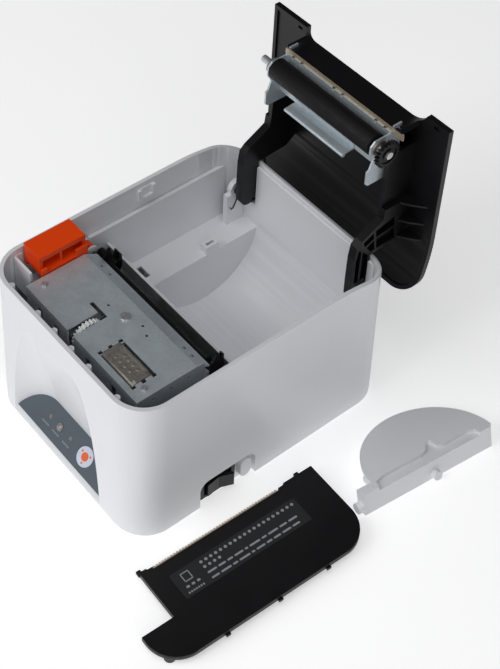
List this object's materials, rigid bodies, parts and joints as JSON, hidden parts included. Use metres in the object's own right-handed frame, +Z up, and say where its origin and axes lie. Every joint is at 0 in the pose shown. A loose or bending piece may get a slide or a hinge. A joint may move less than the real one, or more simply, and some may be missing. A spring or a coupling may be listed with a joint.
{
  "type": "receipt printer",
  "caption": "Desktop thermal receipt printer with its rear-hinged lid open over a drop-in paper bay and cutter mechanism, its front cover and paper divider lying beside it.",
  "frame": {"origin": "on the table plane, under the middle of the housing", "axes": "+Z up; -Y is the front of the printer, with the control panel; +Y is the rear, with the lid hinge and sockets; +X is the side with the power switch"},
  "size_m": [0.2253, 0.2511, 0.198],
  "materials": {
    "white_plastic": "fine satin moulding",
    "black_plastic": "satin moulding",
    "orange_plastic": "glossy moulding",
    "slate_label": "satin film",
    "white_gear_plastic": "plain acetal",
    "galvanised_steel": "galvanised sheet",
    "bright_steel": "turned and plated",
    "dark_steel": "dulled",
    "spring_wire": "blackened wire",
    "aluminium_sink": "plain",
    "ceramic": "glazed",
    "circuit_board": "solder mask",
    "foot_rubber": "matt",
    "roller_rubber": "ground",
    "lens": "clear tinted",
    "badge": "printed disc",
    "blade_steel": "warm ground steel"
  },
  "bodies": {
    "base": {"housing": "white_plastic", "base_plate": "white_plastic", "rubber_feet": "foot_rubber", "base_screws": "bright_steel", "paper_bucket": "white_plastic", "control_panel": "slate_label", "status_lenses": "lens", "panel_badge": "badge", "main_board": "circuit_board", "interface_board": "circuit_board", "power_inlet": "black_plastic", "usb_port": "galvanised_steel", "drawer_port": "black_plastic", "switch_body": "black_plastic", "feed_switch": "circuit_board", "button_spring": "spring_wire", "mechanism_chassis": "black_plastic", "guide_bar": "black_plastic", "print_head": "ceramic", "head_heatsink": "aluminium_sink", "head_springs": "spring_wire", "feed_motor": "bright_steel", "idler_pin": "bright_steel", "cutter_frame": "galvanised_steel", "cutter_motor": "dark_steel", "cutter_cover": "galvanised_steel", "cutter_screws": "bright_steel", "lever_bracket": "white_plastic", "lever_pin": "bright_steel", "lever_spring": "spring_wire", "hinge_pins": "bright_steel", "lid_spring": "spring_wire"},
    "rocker": {"power_rocker": "black_plastic"},
    "button": {"feed_button": "white_plastic"},
    "idler": {"idler_gear": "white_gear_plastic"},
    "pinion": {"motor_pinion": "white_gear_plastic"},
    "cutter_shaft": {"cutter_drive": "white_gear_plastic"},
    "blade_gear": {"cutter_gear": "white_gear_plastic"},
    "blade": {"moving_blade": "bright_steel"},
    "latch": {"latch_shaft": "bright_steel", "left_hook": "black_plastic", "right_hook": "black_plastic"},
    "lever": {"release_lever": "orange_plastic"},
    "lid": {"lid_cover": "black_plastic", "platen_bracket": "galvanised_steel", "paper_guide": "galvanised_steel", "fixed_blade": "blade_steel", "platen_bushings": "dark_steel"},
    "platen": {"platen_shaft": "bright_steel", "platen_roller": "roller_rubber", "platen_gear": "black_plastic"},
    "loose_cover": {"front_cover": "black_plastic", "tear_bar": "blade_steel", "cover_label": "slate_label"},
    "divider": {"paper_divider": "white_plastic"}
  },
  "joints": [
    {"name": "lid_hinge", "type": "hinge", "parent": "base", "child": "lid", "pos_m": [0, 0.0837, 0.0777], "axis": [1, 0, 0], "range_deg": [0, 90], "deforming": ["lid_spring"]},
    {"name": "platen_spin", "type": "hinge", "parent": "lid", "child": "platen", "pos_m": [0, 0.094, 0.1818], "axis": [1, 0, 0], "continuous": true},
    {"name": "lever_press", "type": "hinge", "parent": "base", "child": "lever", "pos_m": [-0.058, -0.03, 0.093], "axis": [1, 0, 0], "range_deg": [0, 10], "stiffness_Nm_per_rad": 0.6, "springref_deg": -11.46, "deforming": ["lever_spring"]},
    {"name": "latch_release", "type": "hinge", "parent": "base", "child": "latch", "pos_m": [0, -0.026, 0.064], "axis": [1, 0, 0], "range_deg": [0, 5]},
    {"name": "idler_spin", "type": "hinge", "parent": "base", "child": "idler", "pos_m": [0.05, -0.04028, 0.08138], "axis": [1, 0, 0], "continuous": true},
    {"name": "feed_motor_spin", "type": "hinge", "parent": "base", "child": "pinion", "pos_m": [0.05, -0.0539, 0.07], "axis": [1, 0, 0], "continuous": true},
    {"name": "cutter_gear_turn", "type": "hinge", "parent": "base", "child": "blade_gear", "pos_m": [0.003, -0.055, 0.0861], "axis": [-1, 0, 0], "range_deg": [0, 95.5]},
    {"name": "thumb_wheel_turn", "type": "hinge", "parent": "base", "child": "cutter_shaft", "pos_m": [0, -0.069, 0.094], "axis": [-1, 0, 0], "range_deg": [-222.9, 0]},
    {"name": "blade_slide", "type": "slide", "parent": "base", "child": "blade", "axis": [0, 1, 0], "range_m": [0, 0.008]},
    {"name": "power_rocker_tilt", "type": "hinge", "parent": "base", "child": "rocker", "pos_m": [0.07, -0.035, 0.011], "axis": [0, 0, 1], "range_deg": [0, 15]},
    {"name": "feed_button_press", "type": "slide", "parent": "base", "child": "button", "axis": [-1, 0, 0], "range_m": [0, 0.002], "stiffness_N_per_m": 300, "springref_m": -0.002, "deforming": ["button_spring"]},
    {"name": "front_cover_lift", "type": "slide", "parent": "base", "child": "loose_cover", "axis": [0, 0, 1], "range_m": [0, 0.12]},
    {"name": "divider_lift", "type": "slide", "parent": "base", "child": "divider", "axis": [0, 0, 1], "range_m": [0, 0.12]}
  ],
  "couplings": [
    {"joint": "latch_release", "follows": "lever_press", "ratio": 0.5},
    {"joint": "feed_motor_spin", "follows": "idler_spin", "ratio": -2.6667},
    {"joint": "cutter_gear_turn", "follows": "blade_slide", "rad_per_m": 208.33},
    {"joint": "thumb_wheel_turn", "follows": "blade_slide", "rad_per_m": -486.11}
  ]
}
